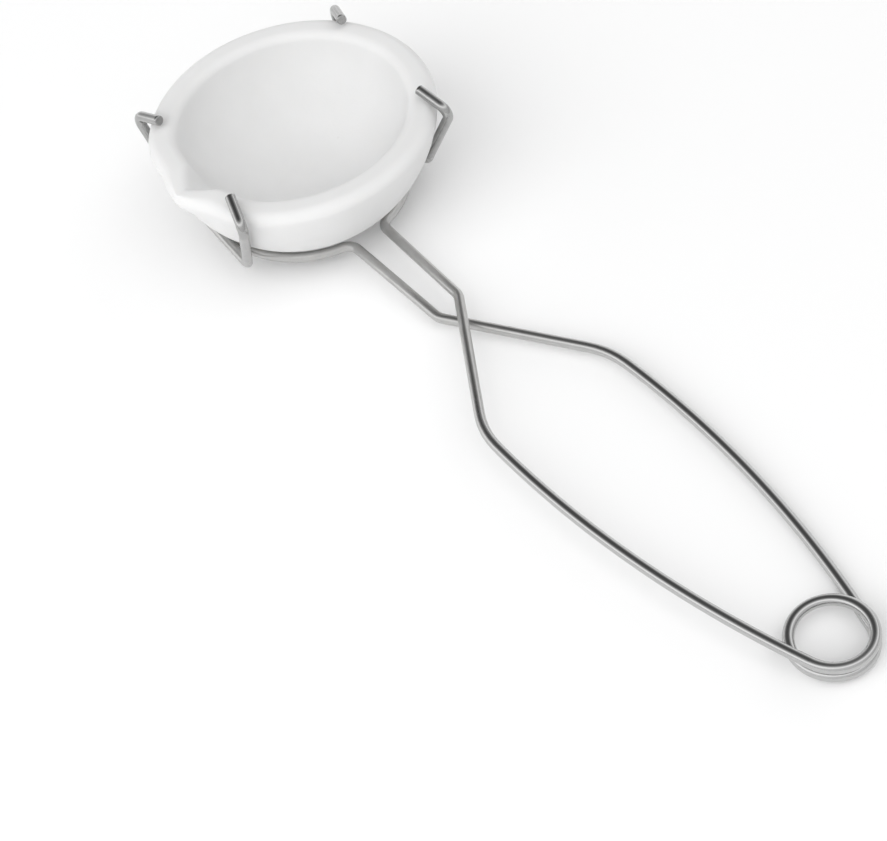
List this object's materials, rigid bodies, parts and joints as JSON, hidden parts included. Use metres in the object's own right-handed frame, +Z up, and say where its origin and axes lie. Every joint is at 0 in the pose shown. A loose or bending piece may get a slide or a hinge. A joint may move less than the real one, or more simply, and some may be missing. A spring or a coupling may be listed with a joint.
{
  "type": "porcelain crucible in wire tongs",
  "caption": "Shallow white ceramic melting crucible with a pouring lip, held over its rim by sprung steel wire tongs whose crossed arms open when the handles are squeezed.",
  "frame": {"origin": "centre of the dish's flat foot, on the table plane", "axes": "+Z up through the dish, +X from the dish to the tongs' spring coil, +Y to the left when looking along +X; the pouring lip points to -Y"},
  "size_m": [0.2544, 0.0797, 0.0378],
  "materials": {
    "porcelain": "fine matt fired surface, off-white",
    "drawn_steel": "bright drawn wire with lengthwise streaks, greyer near the jaws",
    "weld_metal": "dull bead"
  },
  "bodies": {
    "coil": {"spring_coil": "drawn_steel"},
    "left_jaw": {"left_jaw_arm": "drawn_steel", "left_claw_bar": "drawn_steel", "left_weld": "weld_metal"},
    "right_jaw": {"right_jaw_arm": "drawn_steel", "right_claw_bar": "drawn_steel", "right_weld": "weld_metal"},
    "dish": {"crucible_dish": "porcelain"}
  },
  "joints": [
    {"name": "left_jaw_open", "type": "hinge", "parent": "coil", "child": "left_jaw", "pos_m": [0.2037, 0, 0.004], "axis": [0, 0, 1], "range_deg": [0, 6], "stiffness_Nm_per_rad": 6},
    {"name": "right_jaw_open", "type": "hinge", "parent": "coil", "child": "right_jaw", "pos_m": [0.2037, 0, 0.004], "axis": [0, 0, 1], "range_deg": [-6, 0]},
    {"name": "dish_turn", "type": "hinge", "parent": "coil", "child": "dish", "pos_m": [0, 0, 0], "axis": [0, 0, 1], "range_deg": [-12, 12]}
  ],
  "couplings": [
    {"joint": "right_jaw_open", "follows": "left_jaw_open", "ratio": -1}
  ]
}
